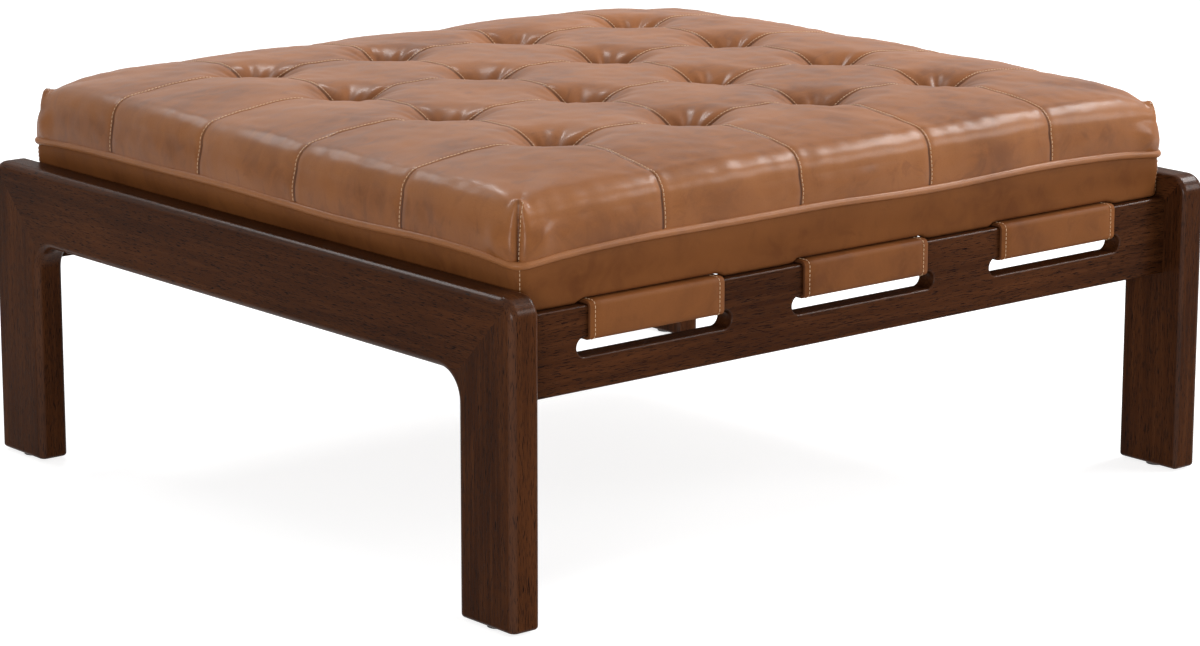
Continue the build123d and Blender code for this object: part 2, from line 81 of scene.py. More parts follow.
camera_data = bpy.data.cameras.new("photo_camera")
camera_data.sensor_width = camera_sensor_width
camera_data.lens = focal_pixels / photo_width * camera_sensor_width
camera_data.shift_x = (photo_width / 2 - axis_x_pixels) / photo_width
camera_data.shift_y = (axis_y_pixels - photo_height / 2) / photo_width
camera = bpy.data.objects.new("photo_camera", camera_data)
camera.matrix_world = (
    Matrix.Translation(camera_place)
    @ Matrix.Rotation(camera_azimuth, 4, "Z")
    @ Matrix.Rotation(math.pi / 2 - camera_pitch, 4, "X")
    @ Matrix.Rotation(camera_roll, 4, "Z")
)
bpy.context.collection.objects.link(camera)
bpy.context.scene.camera = camera
print("lens:", round(camera_data.lens, 1), "mm")

# %% [markdown]
# ## Studio lights
#
# A packshot has large soft lights. One lights the right side, one fills the left, and two long
# ones lie as highlights on the cushion's rolled edges. A small one behind the table gives the
# pleats in the tufts their glints. Each is an area light that is turned towards the table.

# %% Lights
studio_target = Vector((0, 0, 0.3))
studio_lights = {
    "key_right": {"place": (3.3, -3.2, 2.0), "size": (2.2, 1.4), "watts": 78.0},
    "roll_right": {"place": (3.0, -0.8, 3.0), "size": (2.2, 0.8), "watts": 116.0},
    "roll_back": {"place": (-0.6, 3.2, 3.2), "size": (2.0, 0.8), "watts": 40.0},
    "fill_left": {"place": (-3.4, -2.6, 0.9), "size": (1.6, 1.2), "watts": 62.0},
    "tuft_glints": {"place": (0.5, 1.6, 2.6), "size": (0.6, 0.4), "watts": 19.0},
}


def studio_light(name, place, size, watts):
    """A rectangular soft light that faces the table."""
    data = bpy.data.lights.new(name, "AREA")
    data.shape = "RECTANGLE"
    data.size, data.size_y = size
    data.energy = watts
    light = bpy.data.objects.new(name, data)
    light.location = place
    light.rotation_euler = (studio_target - Vector(place)).to_track_quat("-Z", "Y").to_euler()
    bpy.context.collection.objects.link(light)


for light_name, settings in studio_lights.items():
    studio_light(light_name, **settings)
bpy.context.scene.view_settings.view_transform = "Standard"
print("lights:", ", ".join(studio_lights))

# %% [markdown]
# ## White background
#
# The world is pure white where the camera sees it, directly or mirrored in a glossy surface,
# and a softer grey where it lights the table. More light on the table would also turn the
# background white, but it would bleach the wood and the leather.

# %% World
white = (1.0, 1.0, 1.0, 1.0)
studio_world_light = 0.22
studio_world_seen = 1.0


def feed(socket, value):
    """Sets a node's input to a value, or links it to another node's output."""
    if isinstance(value, bpy.types.NodeSocket):
        socket.id_data.links.new(value, socket)
    else:
        socket.default_value = value


def feed_inputs(node, inputs):
    """Feeds named inputs of a node. A name has underscores in place of spaces."""
    for name, value in inputs.items():
        feed(node.inputs[name.replace("_", " ")], value)


def arithmetic(tree, operation, *values):
    """One step of arithmetic in a tree of nodes."""
    node = tree.nodes.new("ShaderNodeMath")
    node.operation = operation
    for socket, value in zip(node.inputs, values):
        feed(socket, value)
    return node.outputs[0]


def background_rays(tree):
    """1 for the rays that show the background: seen, mirrored or through glass."""
    rays = tree.nodes.new("ShaderNodeLightPath").outputs
    shown = arithmetic(tree, "MAXIMUM", rays["Is Camera Ray"], rays["Is Glossy Ray"])
    return arithmetic(tree, "MAXIMUM", shown, rays["Is Transmission Ray"])


world = bpy.data.worlds.new("studio")
bpy.context.scene.world = world
world.use_nodes = True
world_tree = world.node_tree
world_tree.nodes.clear()
world_mix = world_tree.nodes.new("ShaderNodeMixShader")
world_out = world_tree.nodes.new("ShaderNodeOutputWorld")
feed(world_mix.inputs["Fac"], background_rays(world_tree))
for input_index, strength in ((1, studio_world_light), (2, studio_world_seen)):
    background = world_tree.nodes.new("ShaderNodeBackground")
    feed_inputs(background, {"Color": white, "Strength": strength})
    feed(world_mix.inputs[input_index], background.outputs["Background"])
feed(world_out.inputs["Surface"], world_mix.outputs[0])
print("world light:", studio_world_light)

# %% [markdown]
# ## A small kit for materials
#
# A finish is built up like the real one: first layers that vary over the surface, mostly
# noise, then coats of colour and small bumps that each follow one layer. `Shader` wraps one
# node material and does that from short tables, where a row is a coat or a bump. An input of a
# node is either a plain value or the output of another node.


# %% Material kit
# A Mix node has sockets for several kinds of data. These are the ones that mix colours.
mix_colour_inputs = (0, 6, 7)
mix_colour_output = 2


class Shader:
    """One node material with a Principled surface, and short ways to add nodes to it."""

    def __init__(self, name, **surface):
        self.material = bpy.data.materials.new(name)
        self.material.use_nodes = True
        self.tree = self.material.node_tree
        self.tree.nodes.clear()
        self.surface = self.node("ShaderNodeBsdfPrincipled", **surface)
        self.node("ShaderNodeOutputMaterial", Surface=self.surface.outputs["BSDF"])
        self.coordinates = self.node("ShaderNodeTexCoord").outputs

    def node(self, kind, **inputs):
        """Adds a node and feeds its inputs."""
        node = self.tree.nodes.new(kind)
        feed_inputs(node, inputs)
        return node

    def noise(self, scales, detail=3.0, distortion=0.0, roughness=0.5):
        """Cloudy noise from 0 to 1, with one scale in features per metre or one for each axis."""
        place = self.coordinates["Object"]
        place = self.node("ShaderNodeMapping", Vector=place, Scale=np.full(3, scales).tolist())
        node = self.node(
            "ShaderNodeTexNoise",
            Vector=place.outputs["Vector"],
            Scale=1.0,
            Detail=detail,
            Roughness=roughness,
            Distortion=distortion,
        )
        return node.outputs["Fac"]

    def attribute(self, name):
        """A number stored on the mesh's vertices."""
        node = self.tree.nodes.new("ShaderNodeAttribute")
        node.attribute_name = name
        return node.outputs["Fac"]

    def span(self, value, from_span, to_span):
        """Maps one span of values to another and holds the ends."""
        names = ("From_Min", "From_Max", "To_Min", "To_Max")
        ends = dict(zip(names, (*from_span, *to_span)))
        return self.node("ShaderNodeMapRange", Value=value, **ends).outputs["Result"]

    def paint(self, ground, coats, layers):
        """Lays coats of colour over a ground. How much of each one shows follows a layer."""
        for layer, span, shares, colour in coats:
            mix = self.tree.nodes.new("ShaderNodeMix")
            mix.data_type = "RGBA"
            shown_share = self.span(layers[layer], span, shares)
            for index, value in zip(mix_colour_inputs, (shown_share, ground, colour)):
                feed(mix.inputs[index], value)
            ground = mix.outputs[mix_colour_output]
        return ground

    def dent(self, bumps, layers):
        """Lays bumps over each other. The height of each one follows a layer."""
        under = {}
        for layer, strength_share, depth in bumps:
            inputs = {"Height": layers[layer], "Strength": strength_share, "Distance": depth}
            under = {"Normal": self.node("ShaderNodeBump", **inputs, **under).outputs["Normal"]}
        return under["Normal"]

    def finish(self, **surface):
        """Feeds colours, roughness and normals to the surface, and returns the material."""
        feed_inputs(self.surface, surface)
        return self.material


print("material kit:", ", ".join(name for name in vars(Shader) if not name.startswith("_")))

# %% [markdown]
# ## Floor
#
# The floor is a wide pale plane with a glow of its own, so that it comes out white and keeps
# only the table's soft shadow. The glow is there only for the rays that show the background.

# %% Floor
studio_floor_size = 24.0
studio_floor_colour = (0.55, 0.55, 0.55, 1.0)
studio_floor_roughness = 0.9
studio_floor_glow = 0.82

floor_half = studio_floor_size / 2
floor_corners = [(x * floor_half, y * floor_half, 0) for x, y in ((-1, -1), (1, -1), (1, 1), (-1, 1))]
floor_mesh = bpy.data.meshes.new("floor")
floor_mesh.from_pydata(floor_corners, [], [(0, 1, 2, 3)])
floor = bpy.data.objects.new("floor", floor_mesh)
bpy.context.collection.objects.link(floor)

floor_shader = Shader("studio_floor", Base_Color=studio_floor_colour, Emission_Color=white)
floor_tree = floor_shader.tree
glow = arithmetic(floor_tree, "MULTIPLY", background_rays(floor_tree), studio_floor_glow)
floor_material = floor_shader.finish(Roughness=studio_floor_roughness, Emission_Strength=glow)
floor.data.materials.append(floor_material)
print("floor:", studio_floor_size, "m wide")

# %% [markdown]
# ## Dark walnut
#
# Stained wood shows three things: broad darker and lighter bands along the plank, fine streaks,
# and short dark pores. All three are noise that is stretched along the grain. The grain runs
# along each plank, so there is one material for each of the three directions. The wax is rubbed
# to a gloss on the rounded edges, and stays dull on the flat faces.

# %% Wood values
wood_dark = (0.046, 0.0145, 0.0052, 1.0)
wood_mid = (0.095, 0.031, 0.0102, 1.0)
wood_warm = (0.148, 0.052, 0.018, 1.0)
wood_pore = (0.01, 0.0035, 0.0018, 1.0)
wood_pore_span = (0.58, 0.66)
wood_layers = {
    # layer: scale across the grain, its share along the grain, detail, distortion
    "bands": (26.0, 0.09, 4.0, 0.6),
    "streaks": (260.0, 0.035, 3.0, 0.25),
    "pores": (1900.0, 0.055, 1.0, 0.0),
    "clouds": (7.0, 1.0, 2.0, 0.0),
}
wood_coats = (
    # layer, a span of its values, the shares of the colour at the span's ends, the colour
    ("bands", (0.36, 0.66), (0, 1), wood_mid),
    ("streaks", (0.45, 0.8), (0, 0.45), wood_warm),
    ("clouds", (0.35, 0.7), (0, 0.35), wood_dark),
    ("pores", wood_pore_span, (0, 1), wood_pore),
)
wood_bumps = (
    # layer, strength as a share, depth
    ("streaks", 0.35, 0.00008),
    ("pore_walls", 0.6, 0.00025),
)
wood_roughness_by_band = ((0.3, 0.7), (0.3, 0.4))
wood_gloss_share_by_squareness = ((0.93, 0.995), (0.2, 0.02))
wood_shine_share = 0.015
wood_coat_roughness = 0.2
print("walnut:", len(wood_coats), "coats of stain and", len(wood_bumps), "kinds of bumps")


# %% Wood
def edge_polish(wood):
    """Share of wax gloss: low on a plank's flat faces and high on its rubbed, rounded edges."""
    turned = wood.node("ShaderNodeVectorMath", Vector=wood.coordinates["Normal"])
    turned.operation = "ABSOLUTE"
    along = wood.node("ShaderNodeSeparateXYZ", Vector=turned.outputs["Vector"]).outputs
    squareness = arithmetic(wood.tree, "MAXIMUM", along["X"], along["Y"])
    squareness = arithmetic(wood.tree, "MAXIMUM", squareness, along["Z"])
    return wood.span(squareness, *wood_gloss_share_by_squareness)


def walnut(name, axis):
    """Satin dark walnut with its grain along one axis."""
    wood = Shader(name, Coat_Roughness=wood_coat_roughness, Specular_IOR_Level=wood_shine_share)
    layers = {}
    for layer, (scale, along_share, detail, distortion) in wood_layers.items():
        scales = [scale * along_share if i == axis else scale for i in range(3)]
        layers[layer] = wood.noise(scales, detail, distortion)
    layers["pore_walls"] = wood.span(layers["pores"], wood_pore_span, (1, 0))
    return wood.finish(
        Base_Color=wood.paint(wood_dark, wood_coats, layers),
        Roughness=wood.span(layers["bands"], *wood_roughness_by_band),
        Normal=wood.dent(wood_bumps, layers),
        Coat_Weight=edge_polish(wood),
    )


def repaint(node_name, material):
    """Gives a CAD node one material."""
    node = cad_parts[node_name]
    node.data.materials.clear()
    node.data.materials.append(material)


planks_by_grain = {
    "x": ("front_slotted_rail", "rear_slotted_rail"),
    "y": ("left_top_rail", "right_top_rail"),
    "z": ("front_left_leg", "rear_left_leg", "front_right_leg", "rear_right_leg"),
}
for grain_index, (grain_name, plank_names) in enumerate(planks_by_grain.items()):
    wood_material = walnut(f"walnut_{grain_name}", grain_index)
    for plank_name in plank_names:
        repaint(plank_name, wood_material)
    print("walnut with its grain along", grain_name, "on", ", ".join(plank_names))

# %% [markdown]
# ## Hidden hardware
#
# Under the table are zinc-plated brackets and screws, nylon glides, and a plain beech dowel or
# plywood edge here and there. Small uneven marks keep them from looking like new plastic.

# %% Hardware
hardware_finishes = {
    "zinc": {"colour": (0.52, 0.51, 0.48, 1.0), "metal": 1.0, "roughness": (0.3, 0.48)},
    "nylon": {"colour": (0.05, 0.043, 0.037, 1.0), "metal": 0.0, "roughness": (0.45, 0.6)},
    "beech": {"colour": (0.45, 0.28, 0.14, 1.0), "metal": 0.0, "roughness": (0.55, 0.7)},
    "twine": {"colour": (0.6, 0.5, 0.34, 1.0), "metal": 0.0, "roughness": (0.75, 0.9)},
}
hardware_nodes = {
    "corner_brackets": "zinc",
    "bracket_screws": "zinc",
    "foot_glides": "nylon",
    "mitre_dowels": "beech",
    "rail_dowels": "beech",
    "base_board": "beech",
    "tuft_ties": "twine",
}
mark_scale = 140.0
mark_detail = 4.0
mark_dark_share = 0.6
mark_tone_span = (0.3, 0.75)
mark_tone_shares = (0, 0.3)
mark_gloss_span = (0.3, 0.7)
mark_bumps = (("marks", 0.4, 0.00006),)


def hardware_material(name, colour, metal, roughness):
    """A plain finish with slight marks in its tone and gloss."""
    part = Shader(name, Metallic=metal)
    layers = {"marks": part.noise(mark_scale, mark_detail)}
    darker = tuple(channel * mark_dark_share for channel in colour[:3]) + (1.0,)
    coats = (("marks", mark_tone_span, mark_tone_shares, darker),)
    return part.finish(
        Base_Color=part.paint(colour, coats, layers),
        Roughness=part.span(layers["marks"], mark_gloss_span, roughness),
        Normal=part.dent(mark_bumps, layers),
    )


hardware_materials = {
    name: hardware_material(name, **finish) for name, finish in hardware_finishes.items()
}
for node_name, finish_name in hardware_nodes.items():
    repaint(node_name, hardware_materials[finish_name])
    print(node_name, "in", finish_name)

# %% [markdown]
# ## Cognac leather
#
# Pull-up leather is waxed, so it goes lighter where it is stretched over an edge. The material
# mixes three browns: broad clouds and brushed smudges vary them. Two numbers that the mesh
# stores on its vertices change the colour: `stretch` lightens the edges, and
# `crease` paints shade and dirt into the seams, the darts and the pits. The
# surface is a fine pebble of cells under 1 mm, with a few longer wrinkles. The band and the
# straps are duller and darker than the cover. The tables of coats and bumps have the same
# columns as those of the wood.

# %% Leather values
leather_dark = (0.175, 0.056, 0.014, 1.0)
leather_mid = (0.32, 0.113, 0.03, 1.0)
leather_light = (0.46, 0.192, 0.075, 1.0)
# The deepest brown tints the band, the straps and their burnished edges, and is also the painted
# shade and dirt in the creases.
leather_crease = (0.06, 0.02, 0.009, 1.0)
leather_cell_scale = 1250.0
leather_coat_roughness = 0.26
leather_gloss_span = (0.3, 0.7)
leather_layers = {
    # layer: scale or scales, detail, distortion, roughness
    "clouds": (9.0, 3.0, 0.7, 0.5),
    "smudges": ((34.0, 60.0, 34.0), 5.0, 0.9, 0.62),
    "wrinkles": (85.0, 3.0, 1.2, 0.5),
    "pores": (3200.0, 1.0, 0.0, 0.5),
}
leather_ground_coats = (
    ("clouds", (0.32, 0.68), (0, 1), leather_mid),
    ("smudges", (0.42, 0.72), (0, 0.75), leather_mid),
    ("smudges", (0.32, 0.45), (0.45, 0), leather_dark),
    ("stretch", (0, 1), (0, 0.6), leather_light),
)
leather_top_coats = (
    ("cells", (0.35, 0.75), (0, 0.22), leather_dark),
    # Painted shade and dirt: a dark line along each seam and dart, and painted shade in the pits.
    ("crease", (0, 1), (0, 1), leather_crease),
)
leather_bumps = (
    ("wrinkles", 0.22, 0.0006),
    ("cells", 0.3, 0.00012),
    ("pores", 0.12, 0.00012),
)
leather_finishes = {
    # name: tint, its share, roughness, share of clear coat, share of shine
    "cover_leather": (leather_light, 0.0, (0.5, 0.62), 0.26, 0.11),
    "welt_leather": (leather_light, 0.3, (0.5, 0.62), 0.26, 0.11),
    "band_leather": (leather_crease, 0.42, (0.5, 0.62), 0.0, 0.05),
    "strap_leather": (leather_crease, 0.28, (0.46, 0.6), 0.0, 0.1),
    "strap_edge": (leather_crease, 0.8, (0.5, 0.62), 0.0, 0.07),
}
print("leather:", leather_cell_scale, "cells to the metre")


# %% Leather
def leather(name, tint, tint_share, roughness, coat_share, shine_share):
    """Semi-gloss cognac leather. A tint can lighten or darken the whole piece."""
    hide = Shader(
        name,
        Coat_Weight=coat_share,
        Coat_Roughness=leather_coat_roughness,
        Specular_IOR_Level=shine_share,
    )
    layers = {layer: hide.noise(*settings) for layer, settings in leather_layers.items()}
    place = hide.coordinates["Object"]
    cells = hide.node("ShaderNodeTexVoronoi", Vector=place, Scale=leather_cell_scale)
    layers["cells"] = cells.outputs["Distance"]
    layers["stretch"] = hide.attribute("stretch")
    # Painted shade and dirt, which the mesh stores for the seams, the darts and the pits.
    layers["crease"] = hide.attribute("crease")
    layers["tint"] = tint_share
    coats = (*leather_ground_coats, ("tint", (0, 1), (0, 1), tint), *leather_top_coats)
    return hide.finish(
        Base_Color=hide.paint(leather_dark, coats, layers),
        Roughness=hide.span(layers["smudges"], leather_gloss_span, roughness),
        Normal=hide.dent(leather_bumps, layers),
    )


leathers = {name: leather(name, *finish) for name, finish in leather_finishes.items()}
print("leathers:", ", ".join(leathers))

# %% [markdown]
# ## Thread and cloth
#
# The stitching is a pale waxed thread, and the underside is closed by a black non-woven cloth.
# Their fibres are far too fine to model, so a small noise varies the colour and the surface.

# %% Thread and cloth
fibre_finishes = {
    "thread": {
        "dark": (0.58, 0.35, 0.19, 1.0),
        "light": (0.8, 0.57, 0.37, 1.0),
        "scale": 1800.0,
        "detail": 1.0,
        "bump_share": 0.5,
        "surface": {"Roughness": 0.62, "Specular_IOR_Level": 0.2},
    },
    "dust_cloth": {
        "dark": (0.012, 0.011, 0.01, 1.0),
        "light": (0.035, 0.032, 0.03, 1.0),
        "scale": 1500.0,
        "detail": 3.0,
        "bump_share": 0.6,
        "surface": {"Roughness": 0.9},
    },
}
fibre_depth = 0.0002


def fibre_material(name, dark, light, scale, detail, bump_share, surface):
    """Thread or cloth, whose fine fibres vary its colour and stand up from it."""
    fibre = Shader(name, **surface)
    layers = {"fibres": fibre.noise(scale, detail)}
    coats = (("fibres", (0, 1), (0, 1), light),)
    bumps = (("fibres", bump_share, fibre_depth),)
    return fibre.finish(
        Base_Color=fibre.paint(dark, coats, layers), Normal=fibre.dent(bumps, layers)
    )


fibres = {name: fibre_material(name, **finish) for name, finish in fibre_finishes.items()}
print("fibres:", ", ".join(fibres))

# %% [markdown]
# ## The cushion's cover: a grid that folds over the edge
#
# The cover is one square grid, like a cloth. Its middle lies in plan, its outer rows roll over
# the edge and run down the side to the welt, and at the corners they fan round. That gives
# quads everywhere, and grid lines that follow the seams. A cloth simulation could drape such a
# sheet, but sixteen tufts and eight seams would pin nearly all of it, so we work out where the
# leather goes. First come the sizes of the cushion, which are those of the CAD model.

# %% Cover sizes
cover_half_x = 0.426
cover_half_y = 0.402
cover_corner = 0.015
cover_corner_softening = 1.2
cover_welt_z = 0.338
cover_shoulder_z = 0.401
cover_top_z = 0.411
cover_roll = 0.026
cover_flat_inset = 0.1206
cover_side_bulge = 0.002
tufts_each_way = 4
cover_roll_centre_z = cover_shoulder_z - cover_roll
tuft_pitch_x = 2 * cover_half_x / (tufts_each_way + 1)
tuft_pitch_y = 2 * cover_half_y / (tufts_each_way + 1)
pitches_from_middle = np.arange(tufts_each_way) - (tufts_each_way - 1) / 2
seam_xs = tuft_pitch_x * pitches_from_middle
seam_ys = tuft_pitch_y * pitches_from_middle
print("panels:", round(1000 * tuft_pitch_x), "by", round(1000 * tuft_pitch_y), "mm")

# %% [markdown]
# The grid lines crowd together near each seam, where the surface turns sharply, and spread out
# on the smooth panels.

# %% Grid lines
lines_between_seams = 56
line_crowding_share = 0.84


def crowded(start, end, count):
    """Grid lines from start to end that crowd together at both ends."""
    u = np.linspace(0, 1, count + 1)
    wave = line_crowding_share * np.sin(2 * np.pi * u) / (2 * np.pi)
    return start + (end - start) * (u - wave)


def middle_lines(seams, half):
    """All the grid lines of the middle, from one side's first ring to the other's."""
    stops = [-half, *seams, half]
    spans = [crowded(a, b, lines_between_seams)[:-1] for a, b in zip(stops, stops[1:])]
    return np.append(np.concatenate(spans), half)


middle_xs = middle_lines(seam_xs, cover_half_x - cover_corner)
middle_ys = middle_lines(seam_ys, cover_half_y - cover_corner)
print("middle:", len(middle_xs), "by", len(middle_ys), "grid lines")

# %% [markdown]
# The top is a flat middle, then a gentle crown, then the roll over the edge, which touches the
# crown without a kink. The contours of the crown turn rounder further in.


# %% Crown and roll
def crown_z(inset):
    """Height of the crown and of the roll over the edge, at a distance in from the side."""
    reach = cover_flat_inset - cover_roll
    rise = cover_top_z - cover_roll_centre_z
    radius = (rise**2 + reach**2 - cover_roll**2) / (2 * (rise - cover_roll))
    from_flat = np.clip(cover_flat_inset - inset, 0, None)
    crown = cover_top_z - radius + np.sqrt(radius**2 - from_flat**2)
    turn = np.clip(cover_roll - inset, 0, cover_roll)
    roll = cover_roll_centre_z + np.sqrt(cover_roll**2 - turn**2)
    touch = reach * cover_roll / (radius - cover_roll)
    return np.where(inset < cover_roll - touch, roll, crown)


def rounded_inset(inset_x, inset_y):
    """Distance in from the side, along contours whose corners turn rounder further in."""
    grow = cover_corner_softening
    total = inset_x + inset_y
    squares = inset_x**2 + inset_y**2
    a = 2 * (1 + grow) ** 2 - grow**2
    b = 4 * (1 + grow) * cover_corner - 2 * grow * cover_corner - 2 * (1 + grow) * total
    c = cover_corner**2 - 2 * cover_corner * total + squares
    around = (-b + np.sqrt(np.clip(b**2 - 4 * a * c, 0, None))) / (2 * a)
    straight = np.minimum(inset_x, inset_y)
    is_straight = np.maximum(inset_x, inset_y) >= (1 + grow) * straight + cover_corner
    return np.where(is_straight, straight, around)


print("crown:", round(1000 * (cover_top_z - cover_shoulder_z)), "mm above the shoulder")

# %% [markdown]
# Each ring outside the middle has its own inset and height: the first ones go over the roll,
# and the rest go down the side. At a corner the rings fan round by an angle.

# %% Base surface
roll_rings = 9
side_rings = 15
cover_rings = roll_rings + side_rings


def ring_profile():
    """Inset and height of each ring, from the edge of the middle down to the welt."""
    start = math.acos((cover_roll - cover_corner) / cover_roll)
    angles = np.linspace(start, 0, roll_rings + 1)[1:]
    roll_insets = cover_roll * (1 - np.cos(angles))
    roll_heights = cover_roll_centre_z + cover_roll * np.sin(angles)
    shares = np.arange(1, side_rings + 1) / side_rings
    side_insets = -cover_side_bulge * np.sin(np.pi * shares)
    side_heights = cover_roll_centre_z + (cover_welt_z - cover_roll_centre_z) * shares
    return np.append(roll_insets, side_insets), np.append(roll_heights, side_heights)


def ring_numbers(middle):
    """Which ring each grid line lies on: 0 in the middle, and up from 1 towards the welt."""
    rings = np.arange(1, cover_rings + 1)
    return np.concatenate([rings[::-1], np.zeros(len(middle), int), rings])


def cover_base():
    """Plan places, heights, ring numbers and corner angles, before seams and tufts."""
    x_lines = np.pad(middle_xs, cover_rings, mode="edge")
    y_lines = np.pad(middle_ys, cover_rings, mode="edge")
    x, y = np.meshgrid(x_lines, y_lines, indexing="ij")
    ring_x, ring_y = np.meshgrid(ring_numbers(middle_xs), ring_numbers(middle_ys), indexing="ij")
    ring = np.maximum(ring_x, ring_y)
    ratio = np.minimum(ring_x, ring_y) / np.maximum(ring, 1)
    angle = np.where(ring_x >= ring_y, ratio * np.pi / 4, np.pi / 2 - ratio * np.pi / 4)
    ring_inset, ring_z = ring_profile()
    out = np.where(ring > 0, cover_corner - np.append(0, ring_inset)[ring], 0)
    x = x + np.sign(x) * out * np.cos(angle)
    y = y + np.sign(y) * out * np.sin(angle)
    top_z = crown_z(rounded_inset(cover_half_x - np.abs(x), cover_half_y - np.abs(y)))
    z = np.where(ring > roll_rings, np.append(cover_top_z, ring_z)[ring], top_z)
    return x, y, z, ring, angle, (ring_x > 0) & (ring_y > 0)


cover_x, cover_y, cover_z, cover_ring, cover_angle, is_corner = cover_base()
is_side = cover_ring > roll_rings
roll_share = np.clip(cover_ring / roll_rings, 0, 1)
side_share = np.clip((cover_ring - roll_rings) / side_rings, 0, 1)
print("cover:", cover_x.shape[0], "by", cover_x.shape[1], "grid lines")

# %% [markdown]
# ## Bow and unevenness
#
# A stuffed cushion is nowhere straight. Its sides bow outwards in the middle, its welt rises
# along the sides and dips at the corners, and smooth noise keeps every line a little uneven.

# %% Bow and unevenness
cover_bow_x = 0.012
cover_bow_y = 0.004
bow_fade_power = 6
welt_rise_middle = 0.003
welt_drop_corner = 0.005
welt_corner_tightness = 6
welt_wander = 0.004
welt_wander_scale = 5.0
undulation = 0.0022
undulation_scale = 11.0
wrinkle = 0.0007
wrinkle_scale = 60.0


def bow(x, y):
    """Bows the four sides outwards in the middle, and leaves the middle of the cushion alone."""
    share_x = x / cover_half_x
    share_y = y / cover_half_y
    bulge_x = cover_bow_x * (1 - np.minimum(share_y**2, 1)) * share_x**bow_fade_power
    bulge_y = cover_bow_y * (1 - np.minimum(share_x**2, 1)) * share_y**bow_fade_power
    return x + np.sign(x) * bulge_x, y + np.sign(y) * bulge_y


def cornerness(x, y, tightness):
    """1 at the cushion's corners, falling to 0 within a few centimetres if it is tight."""
    return np.minimum(np.abs(x) / cover_half_x, np.abs(y) / cover_half_y) ** tightness


def smooth_noise(points, scale, seed):
    """Smooth noise from about -0.5 to 0.5 at each point."""
    flat = points.reshape(-1, 3) * scale + seed
    values = [noise.noise(Vector(p)) for p in flat]
    return np.array(values).reshape(points.shape[:-1])


def welt_lift(x, y):
    """How far the welt wanders up or down: it rises along the sides and dips at the corners."""
    dip = (welt_rise_middle + welt_drop_corner) * cornerness(x, y, welt_corner_tightness)
    wander = smooth_noise(np.stack([x, y, 0 * x], axis=-1), welt_wander_scale, seed=1.3)
    return welt_rise_middle - dip + welt_wander * wander


cover_start = np.stack([*bow(cover_x, cover_y), cover_z], axis=2)
unevenness = undulation * smooth_noise(cover_start, undulation_scale, seed=3.7)
unevenness = unevenness + wrinkle * smooth_noise(cover_start, wrinkle_scale, seed=9.1)
drawn_in = unevenness * (1 - side_share**3)
print("unevenness:", round(1000 * float(np.ptp(drawn_in)), 1), "mm")

# %% [markdown]
# ## Seams
#
# A seam is a valley whose depth fades from the crease outwards. Close to a tuft the valley is
# deep and wide, and halfway between two tufts it is shallow and narrow. The seam allowance is
# folded to one side, which lifts the leather there. Each panel swells between its seams.

# %% Seams
pit_reach = 0.064
seam_depth = 0.0012
seam_plunge = 0.0058
seam_width = 0.009
seam_flare = 0.011
seam_step = 0.0006
seam_step_width = 0.0011
panel_swell = 0.0016
side_swell = 0.0026


def nearest(values, places):
    """Signed distance from each value to the nearest place."""
    distances = values[..., None] - places
    index = np.abs(distances).argmin(axis=-1)
    return np.take_along_axis(distances, index[..., None], axis=-1)[..., 0]


def valley(distance, width):
    """1 in the crease, falling to 0 at the valley's edge."""
    return np.clip(1 - np.abs(distance) / width, 0, 1) ** 2


def hill(distance, width):
    """1 on a place, falling smoothly to 0 on both sides of it."""
    return np.exp(-((distance / width) ** 2))


def tuft_closeness(along):
    """1 at a tuft, falling to 0 along a seam."""
    return np.clip(1 - np.abs(along) / pit_reach, 0, 1)


def seam_valley(across, along):
    """Depth of one seam's valley, which turns deeper and wider near a tuft."""
    closeness = tuft_closeness(along)
    depth = seam_depth + seam_plunge * closeness
    return depth * valley(across, seam_width + seam_flare * closeness)


def panel_fullness(across, pitch):
    """0 on a seam and 1 in the middle of a panel."""
    return np.sin(np.clip(np.abs(across) / (pitch / 2), 0, 1) * np.pi / 2)


across_x = nearest(cover_x, seam_xs)
across_y = nearest(cover_y, seam_ys)
drawn_in += np.maximum(seam_valley(across_x, across_y), seam_valley(across_y, across_x))
fullness = panel_fullness(across_x, tuft_pitch_x) * panel_fullness(across_y, tuft_pitch_y)
swell = panel_swell + (side_swell - panel_swell) * roll_share
drawn_in += swell * (1 - fullness) * (1 - side_share**2)
step_x = hill(across_x - seam_step_width, seam_step_width)
step_y = hill(across_y - seam_step_width, seam_step_width)
seam_fold = np.maximum(step_x, step_y)
drawn_in -= seam_step * seam_fold
print("seams:", len(seam_xs) + len(seam_ys), "from side to side")

# %% [markdown]
# ## Tufts and pleats
#
# Where two seams cross, a tie pulls the leather down into a pit. Round every tuft, small pleats
# run down into the pit, each at its own angle, because the leather has to gather there.

# %% Tufts and pleats
pit_depth = 0.03
pleat_count = 13
pleat_depth = 0.0045
pleat_depth_shares = (0.35, 1.0)
pleat_width = 0.0022
pleat_flare_share = 0.07
pleat_reach = 0.027
pleat_reach_shares = (0.7, 1.35)
pleat_tail_share = 1.4
pleat_start = 0.007
pleat_area = 0.08
pleat_turn_share = 0.33
pleat_seed = 7


def pit_pleats(away, heading, rng):
    """Depth of one pit's pleats, at a distance and a heading from its tuft."""
    turns = np.arange(pleat_count) + rng.uniform(-pleat_turn_share, pleat_turn_share, pleat_count)
    depths = rng.uniform(*pleat_depth_shares, pleat_count) * pleat_depth
    reaches = rng.uniform(*pleat_reach_shares, pleat_count) * pleat_reach
    width = pleat_width + pleat_flare_share * away
    rising = np.clip((away - pleat_start) / pleat_start, 0, 1)
    total = np.zeros_like(away)
    for turn, depth, reach in zip(turns, depths, reaches):
        swing = (heading - 2 * np.pi * turn / pleat_count + np.pi) % (2 * np.pi) - np.pi
        falling = np.exp(-((away / (reach * pleat_tail_share)) ** 3))
        total += depth * hill(np.abs(swing) * away, width) * rising * falling
    return total


